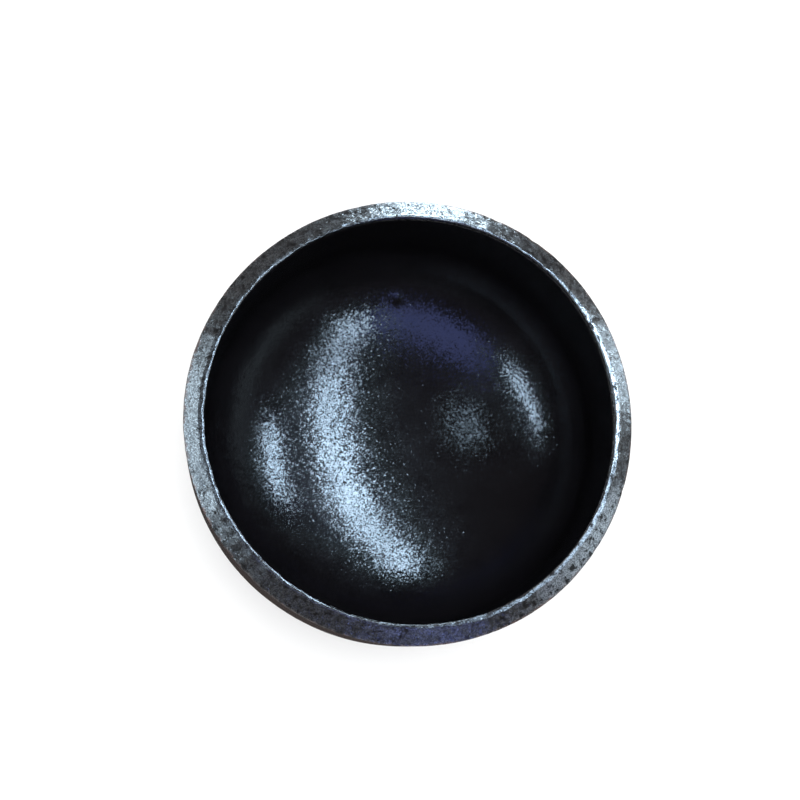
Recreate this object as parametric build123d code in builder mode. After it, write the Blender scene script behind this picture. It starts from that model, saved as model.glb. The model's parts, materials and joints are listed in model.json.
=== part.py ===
from build123d import *
import os
from math import cos, radians, tan

# Butt-welding pipe cap, NPS 6 (DN 150), standard wall, as ASME B16.9 sizes it. Sizes are in millimetres.
# One blank of steel plate is hot-pressed into a straight skirt and a semi-ellipsoidal crown, and its open
# end is machined to a weld preparation, so the whole cap is one solid.
# The origin is the centre of the weld end, on the plane of the root face. +Z points out of the open mouth,
# and the crown hangs below, so the cap stands on the crown's pole.

os.makedirs("parts", exist_ok=True)

# Driving dimensions
outside_diameter = 168.3  # the pipe's and the cap's outside diameter
wall_thickness = 7.11  # standard wall, at the weld end and at the crown's pole
overall_length = 88.9  # from the root face to the outside of the crown
crown_ratio = 2.0  # the crown's inside radius over its inside depth: a 2:1 semi-ellipsoid
root_face = 1.6  # width of the flat land that the bevel leaves at the weld end
bevel_angle = 37.5  # the bevel's slope, from the plane of the root face
corner_radius = 0.5  # takes the sharpness off the bevel's outer corner

# Sizes that follow from them
outside_radius = outside_diameter / 2
bore_radius = outside_radius - wall_thickness
land_radius = bore_radius + root_face
bevel_height = (outside_radius - land_radius) * tan(radians(bevel_angle))
inside_crown_depth = bore_radius / crown_ratio
outside_crown_depth = inside_crown_depth + wall_thickness
tangent_line = outside_crown_depth - overall_length  # height where the skirt ends and the crown begins
inside_pole = tangent_line - inside_crown_depth

# A quarter of an ellipse is exactly a quadratic Bezier curve with these weights, its middle control point
# at the corner of the box that holds the quarter.
quarter_ellipse = [1, cos(radians(45)), 1]

# The wall is one closed outline, turned round the axis. Both crowns start on the tangent line, so each runs
# smoothly into its side of the skirt. Between them the wall is the plate's full thickness at the skirt and
# at the pole, and about 5% less round the knuckle, where pressing stretches a real cap.
with BuildPart() as cap_shell:
    with BuildSketch(Plane.XZ) as wall_section:
        with BuildLine() as wall_outline:
            bore = Line((bore_radius, 0), (bore_radius, tangent_line))
            inside_crown = Bezier(
                bore @ 1,
                (bore_radius, inside_pole),
                (0, inside_pole),
                weights=quarter_ellipse,
            )
            pole = Line(inside_crown @ 1, (0, -overall_length))
            outside_crown = Bezier(
                pole @ 1,
                (outside_radius, -overall_length),
                (outside_radius, tangent_line),
                weights=quarter_ellipse,
            )
            skirt = Line(outside_crown @ 1, (outside_radius, -bevel_height))
            bevel = Line(skirt @ 1, (land_radius, 0))
            land = Line(bevel @ 1, bore @ 0)
        make_face()
        bevel_corner = wall_section.vertices().sort_by_distance((outside_radius, -bevel_height))[0]
        fillet(bevel_corner, corner_radius)
    revolve(axis=Axis.Z)
cap_shell.part.label = "cap_shell"
export_step(cap_shell.part, "parts/cap_shell.step")
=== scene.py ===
import json
import math
import random

import bpy
from mathutils import Matrix, Vector, noise


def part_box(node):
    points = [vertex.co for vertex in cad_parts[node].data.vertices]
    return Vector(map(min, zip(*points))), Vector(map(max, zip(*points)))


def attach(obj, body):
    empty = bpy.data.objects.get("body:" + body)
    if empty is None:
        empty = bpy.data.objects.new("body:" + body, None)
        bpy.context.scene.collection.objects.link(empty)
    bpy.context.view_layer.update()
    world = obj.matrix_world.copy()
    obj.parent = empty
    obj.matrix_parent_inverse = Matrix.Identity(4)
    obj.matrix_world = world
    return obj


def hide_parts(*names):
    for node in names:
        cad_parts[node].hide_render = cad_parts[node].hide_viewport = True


# A butt-weld pipe cap, black varnished over shot-blasted steel, lying mouth up on its crown.
# Everything is in metres, in the CAD frame: the origin is the centre of the weld end, and +Z points out of
# the mouth.
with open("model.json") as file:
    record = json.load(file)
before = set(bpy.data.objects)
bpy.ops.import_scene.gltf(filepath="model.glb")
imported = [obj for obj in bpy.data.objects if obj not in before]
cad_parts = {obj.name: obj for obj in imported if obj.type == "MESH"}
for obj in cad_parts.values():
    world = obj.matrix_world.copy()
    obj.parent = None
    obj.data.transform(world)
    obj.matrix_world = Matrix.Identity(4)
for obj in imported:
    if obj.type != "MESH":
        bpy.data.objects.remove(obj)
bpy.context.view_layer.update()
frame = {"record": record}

MM = 0.001

# Sizes of the shell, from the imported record. The weld face's mount is in the middle of the land.
MOUNTS = {mount["name"]: mount for mount in frame["record"]["mounts"]}
BORE_RADIUS = MOUNTS["mouth_bore"]["dims"]["r_mm"] * MM
OUTSIDE_RADIUS = MOUNTS["skirt_outside"]["dims"]["r_mm"] * MM
TANGENT_LINE = -MOUNTS["mouth_bore"]["dims"]["length_mm"] * MM
LAND_RADIUS = 2 * MOUNTS["weld_face"]["pos_m"][0] - BORE_RADIUS
FLOOR_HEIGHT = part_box("cap_shell")[0].z
WALL = OUTSIDE_RADIUS - BORE_RADIUS
BEVEL_ANGLE = math.radians(37.5)
BEVEL_HEIGHT = (OUTSIDE_RADIUS - LAND_RADIUS) * math.tan(BEVEL_ANGLE)
OUTSIDE_CROWN_DEPTH = TANGENT_LINE - FLOOR_HEIGHT
INSIDE_CROWN_DEPTH = OUTSIDE_CROWN_DEPTH - WALL

# Edges that grinding, blasting and varnish leave rounded
BORE_EDGE_RADIUS = 0.15 * MM
BURR_EDGE_RADIUS = 0.2 * MM
LAND_EDGE_RADIUS = 0.6 * MM
OUTER_CORNER_RADIUS = 0.6 * MM

# Mesh of the body, which thins out towards the poles
BODY_STEP = 1.4 * MM
BODY_SEGMENTS = 384
FEWEST_SEGMENTS = 6
SHORTEST_SEGMENT = 0.7 * MM
ELLIPSE_SAMPLES = 2000

# Mesh of the rim: points round it, faces across each part of it, and faces across its fillets
RIM_SEGMENTS = 2 * BODY_SEGMENTS
BORE_FACES = 4
FACET_FACES = 2
LAND_FACES = 3
BEVEL_FACES = 13
SKIRT_FACES = 4
SMALL_FILLET_FACES = 2
FILLET_FACES = 4

# Where the rim's mesh meets the body's, inside and outside: radius and height
RIM_INSIDE = (BORE_RADIUS, -2.6 * MM)
RIM_OUTSIDE = (OUTSIDE_RADIUS, -BEVEL_HEIGHT - 2.0 * MM)

SEED = 7


def add_object(name, data):
    """A new object of this data, in the scene."""
    made = bpy.data.objects.new(name, data)
    bpy.context.scene.collection.objects.link(made)
    return made


# ---------------------------------------------------------------- profile

def straight(start, end, count):
    """Evenly spaced points from start up to, but not including, end."""
    return [Vector(start).lerp(Vector(end), i / count) for i in range(count)]


def quarter_ellipse(radius, depth):
    """Points of a crown from its pole out to the tangent line, evenly spaced, without the last one."""
    turns = [math.pi / 2 * i / ELLIPSE_SAMPLES for i in range(ELLIPSE_SAMPLES + 1)]
    fine = [Vector((radius * math.sin(t), TANGENT_LINE - depth * math.cos(t))) for t in turns]
    lengths = [0.0]
    for before, after in zip(fine, fine[1:]):
        lengths.append(lengths[-1] + (after - before).length)
    count = round(lengths[-1] / BODY_STEP)
    points, k = [], 0
    for i in range(count):
        while lengths[k] < lengths[-1] * i / count:
            k += 1
        points.append(fine[k])
    return points


def rounded(corner, before, after, radius, faces):
    """Points of a fillet at a corner of the outline, between the points before and after the corner."""
    corner, before, after = Vector(corner), Vector(before), Vector(after)
    back, forth = (before - corner).normalized(), (after - corner).normalized()
    half_angle = back.angle(forth) / 2
    reach = radius / math.tan(half_angle)
    centre = corner + (back + forth).normalized() * radius / math.sin(half_angle)
    start, end = corner + back * reach - centre, corner + forth * reach - centre
    turn = start.angle(end)
    points = []
    for i in range(faces + 1):
        t = i / faces
        spoke = (start * math.sin((1 - t) * turn) + end * math.sin(t * turn)) / math.sin(turn)
        points.append(centre + spoke)
    return points


# Wavelengths between two layers of noise, so that the layers aren't alike
LAYER_STEP = 7.3


def bump_field(point, wavelength, layer=0):
    """Smooth noise from -1 to 1 whose bumps are about a wavelength apart."""
    return noise.noise(point / wavelength + Vector((0, 0, LAYER_STEP * layer)))


def smooth_step(low, high, value):
    """0 up to low, 1 from high on, and a smooth rise between them."""
    t = min(1.0, max(0.0, (value - low) / (high - low)))
    return t * t * (3 - 2 * t)


def nearness(angle, centre, half_width):
    """1 at a centre angle, falling smoothly to 0 about one and a half half-widths away, in degrees."""
    away = (angle - centre + 180) % 360 - 180
    return math.exp(-((away / half_width) ** 4))


# The burr that the dressing pushed inwards over the bore
BURR_REACH = 0.65 * MM

# Where the land is dressed smooth and shines: angle and half width in degrees
POLISHED = (10, 30)

# How the hand dressing varies round the rim. Each entry has an angle in degrees. With it comes the land's
# width in millimetres, its slope towards the bevel in degrees, the width of the facet on the bore's edge in
# millimetres, or that facet's slope in degrees.
LAND_WIDTHS = (
    (0, 1.7), (25, 1.5), (50, 0.6), (90, 0.8), (135, 0.8), (180, 1.2), (215, 0.8), (250, 0.5), (310, 1.3),
)
LAND_SLOPES = ((0, 3.5), (45, 5), (90, 14), (130, 2), (220, 2), (260, 5), (300, 12), (330, 6))
FACET_WIDTHS = ((0, 0.5), (90, 0.5), (150, 0.9), (215, 0.9), (270, 0.6))
FACET_SLOPES = ((0, 30), (100, 29), (125, 19), (180, 13), (225, 13), (270, 22), (300, 30))
NARROWEST_LAND = 0.35 * MM


def around_rim(entries, angle):
    """A value at an angle, smoothly from one entry to the next. The first entry is at 0 degrees."""
    closed = (*entries, (360, entries[0][1]))
    (start, before), (end, after) = next(pair for pair in zip(closed, closed[1:]) if angle <= pair[1][0])
    return before + (after - before) * smooth_step(start, end, angle)


def rim_outline(turn):
    """The weld end's half section at one angle. It is dressed by hand, so its edges wander."""
    place = Vector((math.cos(turn), math.sin(turn), 0)) * OUTSIDE_RADIUS
    angle = math.degrees(turn)

    # the burr and the facet on its lip
    burr = 1 + 0.4 * bump_field(place, 5 * MM, 7) + 0.3 * bump_field(place, 14 * MM, 8)
    lip = BORE_RADIUS - BURR_REACH * burr
    facet = around_rim(FACET_WIDTHS, angle) * MM
    facet *= 1 + 0.4 * bump_field(place, 9 * MM, 1) + 0.3 * bump_field(place, 2.5 * MM, 9)
    facet_slope = around_rim(FACET_SLOPES, angle) + 5 * bump_field(place, 4 * MM, 10)
    facet_drop = facet * math.tan(math.radians(facet_slope))

    # the land, and the foot of the bevel
    land_height = 0.10 * MM * bump_field(place, 16 * MM, 3)
    land_width = around_rim(LAND_WIDTHS, angle) * MM * (1 + 0.25 * bump_field(place, 12 * MM, 4))
    land_width = max(NARROWEST_LAND, land_width + 0.28 * MM * bump_field(place, 4 * MM, 5))
    land_drop = land_width * math.tan(math.radians(around_rim(LAND_SLOPES, angle)))
    bevel_foot = -BEVEL_HEIGHT + 0.18 * MM * bump_field(place, 21 * MM, 6)

    bore_corner = (lip, land_height - facet_drop)
    burr_corner = (lip + facet, land_height)
    land_corner = (lip + facet + land_width, land_height - land_drop)
    outer_corner = (OUTSIDE_RADIUS, bevel_foot)
    bore_edge = rounded(bore_corner, RIM_INSIDE, burr_corner, BORE_EDGE_RADIUS, SMALL_FILLET_FACES)
    burr_edge = rounded(burr_corner, bore_corner, land_corner, BURR_EDGE_RADIUS, SMALL_FILLET_FACES)
    land_edge = rounded(land_corner, burr_corner, outer_corner, LAND_EDGE_RADIUS, FILLET_FACES)
    outer_edge = rounded(outer_corner, land_corner, RIM_OUTSIDE, OUTER_CORNER_RADIUS, FILLET_FACES)

    points = straight(RIM_INSIDE, bore_edge[0], BORE_FACES) + bore_edge
    points += straight(bore_edge[-1], burr_edge[0], FACET_FACES)[1:] + burr_edge
    points += straight(burr_edge[-1], land_edge[0], LAND_FACES)[1:] + land_edge
    points += straight(land_edge[-1], outer_edge[0], BEVEL_FACES)[1:] + outer_edge
    return points + straight(outer_edge[-1], RIM_OUTSIDE, SKIRT_FACES)[1:]


# How far the skirt stands off a true circle: a little oval, and with three lobes turned by an angle in
# radians. Below the tangent line this fades out.
OVAL_HEIGHT = 0.20 * MM
LOBE_HEIGHT = 0.35 * MM
LOBE_TURN = 0.1
ROUND_FADE = 20 * MM


def out_of_round(turn, height):
    """How far the cap stands off a true circle at an angle and a height."""
    near_mouth = smooth_step(TANGENT_LINE - ROUND_FADE, TANGENT_LINE, height)
    return near_mouth * (OVAL_HEIGHT * math.cos(2 * turn) - LOBE_HEIGHT * math.cos(3 * turn + LOBE_TURN))


def segments_at(radius):
    """How many points go round a row of the body: halved again and again towards the poles."""
    count = BODY_SEGMENTS
    while count > FEWEST_SEGMENTS and math.tau * radius / count < SHORTEST_SEGMENT:
        count //= 2
    return count


def wall_rows():
    """Rows of the wall from the inside pole to the outside one: each is a list of (radius, height) points."""
    bore_steps = round((RIM_INSIDE[1] - TANGENT_LINE) / BODY_STEP)
    skirt_steps = round((RIM_OUTSIDE[1] - TANGENT_LINE) / BODY_STEP)
    inside = quarter_ellipse(BORE_RADIUS, INSIDE_CROWN_DEPTH)[1:]
    inside += straight((BORE_RADIUS, TANGENT_LINE), RIM_INSIDE, bore_steps)
    outside = straight(RIM_OUTSIDE, (OUTSIDE_RADIUS, TANGENT_LINE), skirt_steps)
    outside += [Vector((OUTSIDE_RADIUS, TANGENT_LINE))]
    outside += quarter_ellipse(OUTSIDE_RADIUS, OUTSIDE_CROWN_DEPTH)[:0:-1]
    sections = [rim_outline(math.tau * i / RIM_SEGMENTS) for i in range(RIM_SEGMENTS)]
    rim = [list(row) for row in zip(*sections)]
    return [[p] * segments_at(p.x) for p in inside] + rim + [[p] * segments_at(p.x) for p in outside]


# ---------------------------------------------------------------- surface detail that is real shape

# A speck of varnish that dried as a blob on the inside of the crown
BLOB_PLACE = Vector((2.7, 61.0, -66.8)) * MM
BLOB_RADIUS = 1.9 * MM
BLOB_HEIGHT = 0.45 * MM

# Bumps of the pressed, blasted and varnished surface: how high and how far apart, in millimetres
BODY_BUMPS = ((0.10, 38), (0.035, 11), (0.016, 3.6))

# The weld end's own bumps, each in its own layer of noise, and the share that polishing takes off them
END_BUMPS = ((0.07, 6, 1), (0.05, 2.2, 2))
POLISH_CALM = 0.75

# Over this height below the bevel the weld end's bumps fade out, and its nicks reach no further
END_FADE = 1.5 * MM

# How far from the bore's edge its ragged burr reaches
EDGE_REACH = 0.6 * MM


def relief(point, on_end, edge_distance):
    """How far the surface stands off its outline at a point, edge_distance away from the bore's edge."""
    height = sum(rise * MM * bump_field(point, spacing * MM) for rise, spacing in BODY_BUMPS)
    height += BLOB_HEIGHT * math.exp(-(((point - BLOB_PLACE).length / BLOB_RADIUS) ** 2))
    if on_end:
        angle = math.degrees(math.atan2(point.y, point.x))
        rough = 1 - POLISH_CALM * nearness(angle, *POLISHED)
        for rise, spacing, layer in END_BUMPS:
            height += rough * on_end * rise * MM * bump_field(point, spacing * MM, layer)
        on_edge = rough * math.exp(-((edge_distance / EDGE_REACH) ** 2))
        burr = max(0.0, 0.35 + bump_field(point, 17 * MM, 3))
        height += on_edge * MM * (0.16 * burr + 0.13 * bump_field(point, 1.9 * MM, 4))
    return height


MARK_COUNT = 70
FILE_STROKE_SHARE = 0.3
RUN_COUNT = 16

# Beyond this many half widths a mark leaves no trace
MARK_REACH = 3


def dressing_marks():
    """Nicks on the weld end's edges and file strokes on its bevel: two ends, half width and depth of each."""
    scatter = random.Random(SEED)
    marks = []
    for _ in range(MARK_COUNT):
        turn = scatter.uniform(0, math.tau)
        if scatter.random() < FILE_STROKE_SHARE:
            inner, outer = LAND_RADIUS + 0.3 * MM, OUTSIDE_RADIUS - scatter.uniform(0, 3) * MM
            swing = scatter.uniform(-0.05, 0.05)
            ends = on_bevel(inner, turn), on_bevel(outer, turn + swing)
            marks.append((*ends, scatter.uniform(0.25, 0.4) * MM, scatter.uniform(0.05, 0.12) * MM))
        else:
            radius = scatter.choice((BORE_RADIUS, LAND_RADIUS, LAND_RADIUS, OUTSIDE_RADIUS))
            ends = on_bevel(radius, turn), on_bevel(radius, turn + scatter.uniform(0.0, 0.02))
            marks.append((*ends, scatter.uniform(0.5, 1.2) * MM, scatter.uniform(0.08, 0.25) * MM))
    return marks


def varnish_runs():
    """Runs that dried on the way down the skirt: each is a ridge, a mark of negative depth, and a bead."""
    scatter = random.Random(SEED)
    runs = []
    for _ in range(RUN_COUNT):
        turn = scatter.uniform(0, math.tau)
        top = -BEVEL_HEIGHT - scatter.uniform(1, 12) * MM
        foot = max(top - scatter.uniform(5, 24) * MM, TANGENT_LINE)
        start, end = on_skirt(turn, top), on_skirt(turn + scatter.uniform(-0.01, 0.01), foot)
        half_width = scatter.uniform(1.2, 1.8) * MM
        runs.append((start, end, half_width, scatter.uniform(-0.14, -0.06) * MM))
        runs.append((end, end, half_width * 1.25, scatter.uniform(-0.26, -0.14) * MM))
    return runs


def on_skirt(turn, height):
    """The point on the skirt's outside at an angle and a height."""
    return Vector((OUTSIDE_RADIUS * math.cos(turn), OUTSIDE_RADIUS * math.sin(turn), height))


def on_bevel(radius, turn):
    """The point on the land or the bevel at a radius and an angle."""
    height = -max(0.0, radius - LAND_RADIUS) * math.tan(BEVEL_ANGLE)
    return Vector((radius * math.cos(turn), radius * math.sin(turn), height))


def mark_depth(point, mark):
    """How deep a mark is at a point: deepest on the line between its ends. A bead's ends are one point."""
    start, end, half_width, depth = mark
    along = end - start
    t = min(1.0, max(0.0, (point - start).dot(along) / max(along.length_squared, 1e-12)))
    far = (point - start - along * t).length / half_width
    return depth * math.exp(-far * far) if far < MARK_REACH else 0.0


SECTORS = 60


def sector(point):
    """Which of the equal sectors round the axis a point lies in."""
    return int((math.atan2(point.y, point.x) / math.tau + 0.5) * SECTORS) % SECTORS


def by_sector(marks):
    """The marks that can reach each sector of the cap, so that a point only asks the ones near it."""
    near = {}
    for mark in marks:
        for step in (-1, 0, 1):
            near.setdefault((sector(mark[0]) + step) % SECTORS, []).append(mark)
    return near


def depths_at(point, near):
    """How deep each mark near a point is there."""
    return [mark_depth(point, mark) for mark in near.get(sector(point), ())]


def surface_point(turn, section, along, marks, runs):
    """Where the surface is at an angle, from its section's point and the direction of the section there."""
    around = Vector((math.cos(turn), math.sin(turn), 0))
    place = around * (section.x + out_of_round(turn, section.y)) + Vector((0, 0, section.y))
    on_end = smooth_step(-BEVEL_HEIGHT - END_FADE, -BEVEL_HEIGHT, section.y)
    lift = relief(place, on_end, math.hypot(section.x - BORE_RADIUS, section.y))
    if on_end:
        lift -= max(depths_at(place, marks), default=0.0)
    elif section.x > OUTSIDE_RADIUS - MM:
        lift -= min(depths_at(place, runs), default=0.0)
    outward = Vector((-along.y, along.x)).normalized()
    normal = around * outward.x + Vector((0, 0, outward.y))
    return place + normal * lift


def faces_between(first, n, second, m):
    """Faces between a row of n points and one of m, where one may have twice the points of the other."""
    if n == m:
        return [(first + i, first + (i + 1) % n, second + (i + 1) % n, second + i) for i in range(n)]
    faces = []
    if m == 2 * n:
        for i in range(n):
            c, d = first + i, first + (i + 1) % n
            f, g, h = second + 2 * i, second + 2 * i + 1, second + (2 * i + 2) % m
            faces += [(c, g, f), (c, d, g), (d, h, g)]
    else:
        for i in range(m):
            c, d = second + i, second + (i + 1) % m
            f, g, h = first + 2 * i, first + 2 * i + 1, first + (2 * i + 2) % n
            faces += [(c, f, g), (c, g, d), (d, g, h)]
    return faces


def build_shell():
    """The whole cap as one closed mesh, fine at its rim and thinned out towards the poles."""
    rows = wall_rows()
    marks, runs = by_sector(dressing_marks()), by_sector(varnish_runs())
    inside_pole = Vector((0, TANGENT_LINE - INSIDE_CROWN_DEPTH))
    outside_pole = Vector((0, FLOOR_HEIGHT))
    vertices = [(0, 0, inside_pole.y)]
    rings = []
    for index, row in enumerate(rows):
        count = len(row)
        rings.append((len(vertices), count))
        before = rows[index - 1] if index else [inside_pole]
        after = rows[index + 1] if index + 1 < len(rows) else [outside_pole]
        for i, section in enumerate(row):
            along = after[i * len(after) // count] - before[i * len(before) // count]
            point = surface_point(math.tau * i / count, section, along, marks, runs)
            vertices.append(tuple(point))
    last = len(vertices)
    vertices.append((0, 0, outside_pole.y))

    start, count = rings[0]
    faces = [(0, start + (i + 1) % count, start + i) for i in range(count)]
    for (first, n), (second, m) in zip(rings, rings[1:]):
        faces += faces_between(first, n, second, m)
    start, count = rings[-1]
    faces += [(last, start + i, start + (i + 1) % count) for i in range(count)]

    mesh = bpy.data.meshes.new("pressed_cap")
    mesh.from_pydata(vertices, [], faces)
    mesh.validate()
    mesh.shade_smooth()
    store_masks(mesh)
    return add_object("pressed_cap", mesh)


# Where handling has rubbed the varnish off the weld end: angle and half width in degrees, and strength
BARE_PATCHES = ((-38, 21, 1.0), (-60, 8, 0.5), (160, 12, 0.35), (200, 14, 0.4))

# How far from the bevel's outer corner its rust reaches
CORNER_REACH = 0.7 * MM


def masks_at(x, y, z):
    """How much of each kind of surface there is at a point, from 0 to 1."""
    radius = math.hypot(x, y)
    angle = math.degrees(math.atan2(y, x))
    machined = smooth_step(-BEVEL_HEIGHT - 0.6 * MM, -BEVEL_HEIGHT + 0.3 * MM, z)
    machined *= smooth_step(BORE_RADIUS - BURR_REACH, BORE_RADIUS, radius)
    on_land = smooth_step(BORE_RADIUS - 0.5 * MM, BORE_RADIUS, radius)
    on_land *= 1 - smooth_step(BORE_RADIUS + 1.5 * MM, BORE_RADIUS + 2.2 * MM, radius)
    rubbed = max(strength * nearness(angle, centre, width) for centre, width, strength in BARE_PATCHES)
    to_corner = math.hypot(radius - OUTSIDE_RADIUS, z + BEVEL_HEIGHT)
    # the outside is whatever lies beyond the middle of the wall
    drop = max(0.0, TANGENT_LINE - z) / (OUTSIDE_CROWN_DEPTH - WALL / 2)
    outside = math.hypot(radius / (OUTSIDE_RADIUS - WALL / 2), drop) > 1
    return {
        "machined": machined,
        "bare": rubbed * machined,
        "polished": machined * on_land * nearness(angle, *POLISHED),
        "corner": math.exp(-((to_corner / CORNER_REACH) ** 2)),
        "outside": float(outside),
    }


def store_masks(mesh):
    """Put the masks on the mesh, where the material reads them."""
    masks = [masks_at(*vertex.co) for vertex in mesh.vertices]
    for name in masks[0]:
        values = [mask[name] for mask in masks]
        mesh.attributes.new(name, "FLOAT", "POINT").data.foreach_set("value", values)


# ---------------------------------------------------------------- material

class Nodes:
    """Short calls for building a node tree. A value may be a number, a colour or another node's output."""

    def __init__(self, tree):
        self.tree = tree
        self.tree.nodes.clear()

    def add(self, kind, **settings):
        node = self.tree.nodes.new(kind)
        for name, value in settings.items():
            setattr(node, name, value)
        return node

    def link(self, source, target):
        self.tree.links.new(source, target)

    def put(self, value, socket):
        if isinstance(value, bpy.types.NodeSocket):
            self.link(value, socket)
        else:
            socket.default_value = value

    def attribute(self, name):
        return self.add("ShaderNodeAttribute", attribute_name=name).outputs["Fac"]

    def noise(self, where, scale, detail=2.0, roughness=0.5):
        node = self.add("ShaderNodeTexNoise")
        self.put(where, node.inputs["Vector"])
        node.inputs["Scale"].default_value = scale
        node.inputs["Detail"].default_value = detail
        node.inputs["Roughness"].default_value = roughness
        return node.outputs["Fac"]

    def stretched(self, where, turn, scale):
        """Coordinates that scale a texture's features along each axis, turned by angles in radians."""
        node = self.add("ShaderNodeMapping", vector_type="TEXTURE")
        self.put(where, node.inputs["Vector"])
        node.inputs["Rotation"].default_value = turn
        node.inputs["Scale"].default_value = scale
        return node.outputs["Vector"]

    def math(self, operation, a, b):
        node = self.add("ShaderNodeMath", operation=operation)
        self.put(a, node.inputs[0])
        self.put(b, node.inputs[1])
        return node.outputs[0]

    def times(self, a, b):
        return self.math("MULTIPLY", a, b)

    def vector(self, operation, a, b=(0.0, 0.0, 0.0)):
        node = self.add("ShaderNodeVectorMath", operation=operation)
        self.put(a, node.inputs[0])
        self.put(b, node.inputs["Scale"] if operation == "SCALE" else node.inputs[1])
        return node.outputs["Vector"]

    def band(self, value, low, high, to_low=0.0, to_high=1.0):
        """A smooth rise from to_low to to_high while the value goes from low to high."""
        node = self.add("ShaderNodeMapRange", interpolation_type="SMOOTHSTEP")
        self.put(value, node.inputs["Value"])
        node.inputs["From Min"].default_value = low
        node.inputs["From Max"].default_value = high
        node.inputs["To Min"].default_value = to_low
        node.inputs["To Max"].default_value = to_high
        return node.outputs["Result"]

    def mix(self, factor, a, b, kind="RGBA"):
        """The colour a where the factor is 0 and b where it is 1."""
        node = self.add("ShaderNodeMix", data_type=kind)
        self.put(factor, node.inputs["Factor"])
        self.put(a, node.inputs["A"])
        self.put(b, node.inputs["B"])
        return node.outputs["Result"]

    def blend(self, factor, a, b):
        """The number a where the factor is 0 and b where it is 1."""
        return self.mix(factor, a, b, kind="FLOAT")

    def facets(self, where, size_mm, tilt, normal):
        """A normal that leans a different way on every grain of the blasted surface."""
        cells = self.add("ShaderNodeTexVoronoi")
        self.put(where, cells.inputs["Vector"])
        cells.inputs["Scale"].default_value = per_mm(size_mm)
        lean = self.vector("SUBTRACT", cells.outputs["Color"], (0.5, 0.5, 0.5))
        return self.vector("NORMALIZE", self.vector("ADD", normal, self.vector("SCALE", lean, tilt)))

    def bump(self, height, distance):
        node = self.add("ShaderNodeBump")
        node.inputs["Distance"].default_value = distance
        self.put(height, node.inputs["Height"])
        return node.outputs["Normal"]


def per_mm(spacing):
    """The texture scale that puts features about this many millimetres apart."""
    return 1 / (spacing * MM)


def new_material(name):
    """A material with a principled shader: the material, its nodes, the shader and object coordinates."""
    material = bpy.data.materials.new(name)
    material.use_nodes = True
    n = Nodes(material.node_tree)
    shader = n.add("ShaderNodeBsdfPrincipled")
    output = n.add("ShaderNodeOutputMaterial")
    n.link(shader.outputs["BSDF"], output.inputs["Surface"])
    place = n.add("ShaderNodeTexCoord").outputs["Object"]
    return material, n, shader, place


# Colours of the varnish: where it is thick and thin, under a film of dust, scuffed and pricked with rust
THICK_VARNISH = (0.0022, 0.0020, 0.0026, 1)
THIN_VARNISH = (0.0055, 0.0050, 0.0064, 1)
DUST = (0.030, 0.030, 0.031, 1)
SCUFF = (0.10, 0.10, 0.105, 1)
RUST_SPECK = (0.085, 0.036, 0.020, 1)

# Colours of the weld end: dark and light specks of each surface, and the stains on it
GREY_VARNISH = ((0.09, 0.091, 0.094, 1), (0.21, 0.215, 0.22, 1))
GREY_STAIN = (0.050, 0.048, 0.048, 1)
BARE_STEEL = ((0.18, 0.185, 0.19, 1), (0.46, 0.47, 0.48, 1))
STEEL_STAIN = (0.030, 0.026, 0.024, 1)
RUST = ((0.030, 0.012, 0.009, 1), (0.12, 0.045, 0.030, 1))

GRAIN_SIZE_MM = 0.5


def varnished_steel():
    """Gloss black varnish over shot-blasted steel, thinner and greyer on the machined weld end."""
    material, n, shader, place = new_material("black_varnished_steel")
    machined = n.attribute("machined")
    polished = n.attribute("polished")
    outside = n.attribute("outside")
    patches = n.noise(place, per_mm(17), detail=3.0, roughness=0.6)
    blotches = n.noise(place, per_mm(2.6), detail=3.0, roughness=0.65)

    # where the weld end is bare: the masked patches broken up by blotches, and the polished land
    worn = n.math("ADD", n.times(n.attribute("bare"), 0.9), n.times(blotches, 0.9))
    worn = n.times(n.band(worn, 0.80, 1.20), machined)
    worn = n.math("MAXIMUM", worn, polished)
    rusty = n.times(n.attribute("corner"), n.band(blotches, 0.42, 0.60))

    # handling on the outside: a dusty film, and scuffs drawn out round the skirt
    film = n.times(n.band(patches, 0.35, 0.75), outside)
    streaks = n.noise(n.stretched(place, (0.12, 0.07, 0), (1, 1, 0.07)), per_mm(16), 2.5, 0.55)
    scuffed = n.times(n.band(streaks, 0.58, 0.72), n.band(patches, 0.44, 0.62))
    scuffed = n.times(scuffed, outside)

    varnish = varnish_colour(n, place, patches, film, scuffed, outside)
    on_end = weld_end_colour(n, place, blotches, worn, rusty)
    n.link(n.mix(machined, varnish, on_end), shader.inputs["Base Color"])

    gloss = n.band(patches, 0.3, 0.7, 0.16, 0.20)
    gloss = n.math("ADD", gloss, n.times(film, 0.08))
    gloss = n.math("ADD", gloss, n.times(scuffed, 0.20))
    end_gloss = n.blend(worn, n.band(blotches, 0.35, 0.65, 0.20, 0.32), n.blend(polished, 0.42, 0.22))
    n.link(n.blend(machined, gloss, end_gloss), shader.inputs["Roughness"])
    n.link(n.times(machined, n.blend(rusty, 0.9, 0.3)), shader.inputs["Metallic"])
    shader.inputs["Specular IOR Level"].default_value = 0.9
    shader.inputs["IOR"].default_value = 1.52

    n.link(blasted_normal(n, place, machined, polished), shader.inputs["Normal"])
    return material


def varnish_colour(n, place, patches, film, scuffed, outside):
    """Black varnish, with the dust, scuffs and specks of rust that its outside has picked up."""
    rust_spots = n.noise(place, per_mm(2.4), detail=2.0, roughness=0.4)
    specks = n.times(n.band(rust_spots, 0.735, 0.785), n.times(outside, 0.8))
    varnish = n.mix(patches, THICK_VARNISH, THIN_VARNISH)
    varnish = n.mix(n.times(film, 0.35), varnish, DUST)
    varnish = n.mix(n.times(scuffed, 0.55), varnish, SCUFF)
    return n.mix(specks, varnish, RUST_SPECK)


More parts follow.
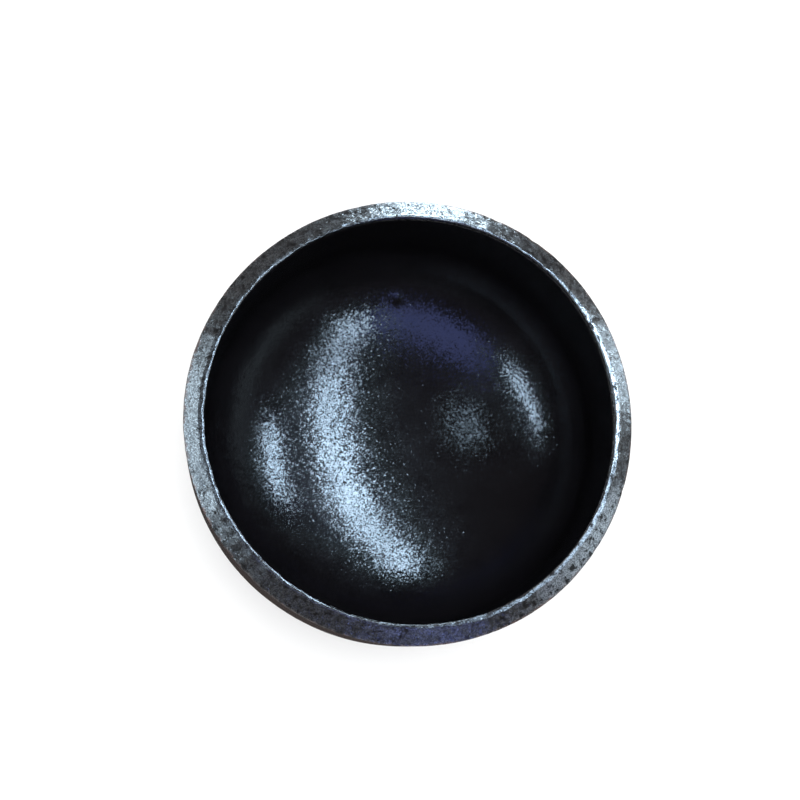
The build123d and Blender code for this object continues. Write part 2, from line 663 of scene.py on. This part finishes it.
def weld_end_colour(n, place, blotches, worn, rusty):
    """Grey varnish over machined steel, bare where it is worn, with rust on its outer corner."""
    speckle = n.band(n.noise(place, per_mm(0.55), detail=1.0), 0.40, 0.62)
    grey_varnish = n.mix(n.band(blotches, 0.34, 0.46), GREY_STAIN, n.mix(speckle, *GREY_VARNISH))
    steel = n.mix(n.band(blotches, 0.36, 0.50), STEEL_STAIN, n.mix(speckle, *BARE_STEEL))
    return n.mix(rusty, n.mix(worn, grey_varnish, steel), n.mix(speckle, *RUST))


def blasted_normal(n, place, machined, polished):
    """Shot-blast grain under the varnish: facets that lean at random, more in places, less if polished."""
    tilt = n.band(n.noise(place, per_mm(0.9), detail=1.0), 0.49, 0.88, 0.08, 0.36)
    tilt = n.times(tilt, n.blend(machined, 1.0, 1.25))
    tilt = n.times(tilt, n.blend(polished, 1.0, 0.25))
    peel = n.times(n.noise(place, per_mm(6.5)), n.blend(polished, 1.0, 0.2))
    return n.facets(place, GRAIN_SIZE_MM, tilt, n.bump(peel, 0.12 * MM))


def pale_floor():
    """Matt pale grey with faint clouds."""
    material, n, shader, place = new_material("pale_floor")
    colour = n.mix(n.noise(place, 9.0), (0.84, 0.845, 0.85, 1), (0.87, 0.872, 0.875, 1))
    n.link(colour, shader.inputs["Base Color"])
    shader.inputs["Roughness"].default_value = 0.9
    shader.inputs["Specular IOR Level"].default_value = 0.1
    return material


# ---------------------------------------------------------------- studio

CEILING = 2.4
LAMP_TINT = (0.58, 0.785, 1.0)
WINDOW_TINT = (0.69, 0.87, 1.0)
BLUE_TINT = (0.28, 0.37, 1.0)
FILL_TINT = (1.0, 0.99, 0.98)

# Strip lights on the ceiling, which the dish reflects: name, the two ends' x and y per unit of ceiling
# height, width per unit of ceiling height, brightness and tint
CEILING_STRIPS = (
    ("lamp_row_a", (0.48, -0.83), (0.42, -0.62), 0.12, 58, LAMP_TINT),
    ("lamp_row_b", (0.49, -0.55), (0.475, -0.22), 0.07, 46, LAMP_TINT),
    ("lamp_row_c", (0.475, -0.22), (0.46, 0.10), 0.09, 80, LAMP_TINT),
    ("lamp_row_d", (0.45, 0.10), (0.33, 0.62), 0.11, 82, LAMP_TINT),
    ("lamp_row_e", (0.30, 0.66), (0.10, 1.25), 0.11, 78, LAMP_TINT),
    ("far_row", (1.18, 0.08), (1.10, 0.66), 0.09, 92, LAMP_TINT),
    ("near_row", (-1.38, 0.04), (-0.94, -0.48), 0.05, 115, LAMP_TINT),
    ("spot", (-0.36, 0.03), (-0.27, 0.02), 0.09, 28, LAMP_TINT),
    ("blue_card", (-0.60, -0.50), (0.22, -0.88), 0.42, 4, BLUE_TINT),
)

# Soft boxes near the horizon, which light the weld end's bevel: name, azimuth and elevation in degrees,
# distance, width and height, brightness and tint
LOW_WINDOWS = (
    ("left_window", 179, 14, 4.0, (4.2, 0.9), 20, WINDOW_TINT),
    ("top_window", 79, 3, 3.4, (1.3, 0.7), 75, WINDOW_TINT),
    ("right_window", 19, 2, 3.4, (1.1, 0.45), 40, WINDOW_TINT),
    ("lower_right_window", -20, 6, 3.4, (0.9, 0.6), 21, WINDOW_TINT),
    ("blue_low", -82, 14, 3.4, (1.8, 0.8), 6, BLUE_TINT),
)

# The soft light overhead, which no reflection shows
FILL_PLACE = (0.2, 0.3, 2.5)
FILL_SIZE = (5.0, 5.0)
FILL_POWER = 90


def matrix_from(x_axis, y_axis, z_axis, place):
    """The matrix of an object at a place, from its three axes."""
    return Matrix((
        (x_axis.x, y_axis.x, z_axis.x, place.x),
        (x_axis.y, y_axis.y, z_axis.y, place.y),
        (x_axis.z, y_axis.z, z_axis.z, place.z),
        (0, 0, 0, 1),
    ))


def area_light(name, centre, size, power, tint, spin_along=None):
    """A rectangular light that faces the cap, shows only in reflections and is long along spin_along."""
    data = bpy.data.lights.new(name, "AREA")
    data.shape = "RECTANGLE"
    data.size, data.size_y = size
    data.energy = power
    data.color = tint
    lamp = add_object(name, data)
    back = Vector(centre).normalized()
    along = Vector(spin_along) if spin_along else Vector((-back.y, back.x, 0))
    along = (along - back * along.dot(back)).normalized()
    lamp.matrix_world = matrix_from(along, back.cross(along), back, Vector(centre))
    lamp.visible_camera = False
    lamp.visible_diffuse = False
    return lamp


def ceiling_strip(name, start, end, width, brightness, tint):
    a = Vector((*start, 1)) * CEILING
    b = Vector((*end, 1)) * CEILING
    length, broad = (b - a).length, width * CEILING
    area_light(name, (a + b) / 2, (length, broad), brightness * length * broad, tint, spin_along=b - a)


def low_window(name, azimuth, elevation, distance, size, brightness, tint):
    turn, rise = math.radians(azimuth), math.radians(elevation)
    towards = Vector((math.cos(turn) * math.cos(rise), math.sin(turn) * math.cos(rise), math.sin(rise)))
    area_light(name, towards * distance, size, brightness * size[0] * size[1], tint)


def light_studio():
    for strip in CEILING_STRIPS:
        ceiling_strip(*strip)
    for window in LOW_WINDOWS:
        low_window(*window)
    fill = area_light("fill", FILL_PLACE, FILL_SIZE, FILL_POWER, FILL_TINT)
    fill.visible_diffuse = True
    fill.visible_glossy = False


WHITE = (1.0, 1.0, 1.0, 1)
EVEN_LIGHT = 1.25

# What the cap reflects besides the lamps
NEAR_FLOOR = (0.085, 0.068, 0.064, 1)
FAR_FLOOR = ((0.16, 0.165, 0.175, 1), (1.05, 1.08, 1.10, 1))
HORIZON = (0.26, 0.265, 0.28, 1)
DARK_CEILING = (0.030, 0.027, 0.034, 1)


def set_world():
    """White to the camera, even light for the floor, and in reflections a dim room with a brown floor."""
    world = bpy.data.worlds.new("studio")
    bpy.context.scene.world = world
    world.use_nodes = True
    n = Nodes(world.node_tree)
    output = n.add("ShaderNodeOutputWorld")
    rays = n.add("ShaderNodeLightPath")
    direction = n.add("ShaderNodeTexCoord").outputs["Generated"]
    upward = n.add("ShaderNodeSeparateXYZ")
    n.link(direction, upward.inputs[0])
    height = upward.outputs["Z"]

    # the reflected floor is pale in uneven patches far off, and dull brown right under the cap
    panels = n.band(n.noise(n.stretched(direction, (0, 0, 0), (1, 1, 6)), 2.3, detail=1.0), 0.40, 0.62)
    floor = n.mix(n.band(height, -0.97, -0.62), NEAR_FLOOR, n.mix(panels, *FAR_FLOOR))
    room = n.mix(n.band(height, 0.0, 0.30), HORIZON, DARK_CEILING)
    room = n.mix(n.band(height, -0.10, 0.02), floor, room)

    reflected = light_of(n, room, 1.0)
    lit = either(n, rays.outputs["Is Diffuse Ray"], reflected, light_of(n, WHITE, EVEN_LIGHT))
    seen = either(n, rays.outputs["Is Camera Ray"], lit, light_of(n, WHITE, 1.0))
    n.link(seen, output.inputs["Surface"])


def light_of(n, colour, strength):
    """Light from all round, of a colour and a strength."""
    node = n.add("ShaderNodeBackground")
    n.put(colour, node.inputs["Color"])
    node.inputs["Strength"].default_value = strength
    return node.outputs["Background"]


def either(n, is_second, first, second):
    """The second light for the rays that is_second picks out, and the first for the others."""
    node = n.add("ShaderNodeMixShader")
    n.link(is_second, node.inputs["Fac"])
    n.link(first, node.inputs[1])
    n.link(second, node.inputs[2])
    return node.outputs["Shader"]


FLOOR_HALF_SIDE = 12.0


def lay_floor():
    signs = [(-1, -1), (1, -1), (1, 1), (-1, 1)]
    corners = [(x * FLOOR_HALF_SIDE, y * FLOOR_HALF_SIDE, FLOOR_HEIGHT) for x, y in signs]
    mesh = bpy.data.meshes.new("floor")
    mesh.from_pydata(corners, [], [(0, 1, 2, 3)])
    mesh.materials.append(pale_floor())
    floor = add_object("floor", mesh)
    floor.visible_glossy = False


# The photographer stands at the lower left and looks down into the mouth
CAMERA_DISTANCE = 0.55
CAMERA_TILT = math.radians(11.5)
CAMERA_AZIMUTH = math.radians(-130)
CAMERA_AIM = Vector((-5.0, 6.23, 0)) * MM
CAMERA_LENS = 66.8
CAMERA_SENSOR = 36


def place_camera():
    data = bpy.data.cameras.new("camera")
    data.lens = CAMERA_LENS
    data.sensor_width = CAMERA_SENSOR
    camera = add_object("camera", data)
    outward = math.sin(CAMERA_TILT)
    place = CAMERA_DISTANCE * Vector((
        outward * math.cos(CAMERA_AZIMUTH),
        outward * math.sin(CAMERA_AZIMUTH),
        math.cos(CAMERA_TILT),
    ))
    back = (place - CAMERA_AIM).normalized()
    right = (Vector((1, 0, 0)) - back * back.x).normalized()
    camera.matrix_world = matrix_from(right, back.cross(right), back, place)
    bpy.context.scene.camera = camera


# ---------------------------------------------------------------- the scene

cap = build_shell()
cap.data.materials.append(varnished_steel())
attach(cap, "root")
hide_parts("cap_shell")

place_camera()
lay_floor()
light_studio()
set_world()
bpy.context.scene.view_settings.view_transform = "Standard"
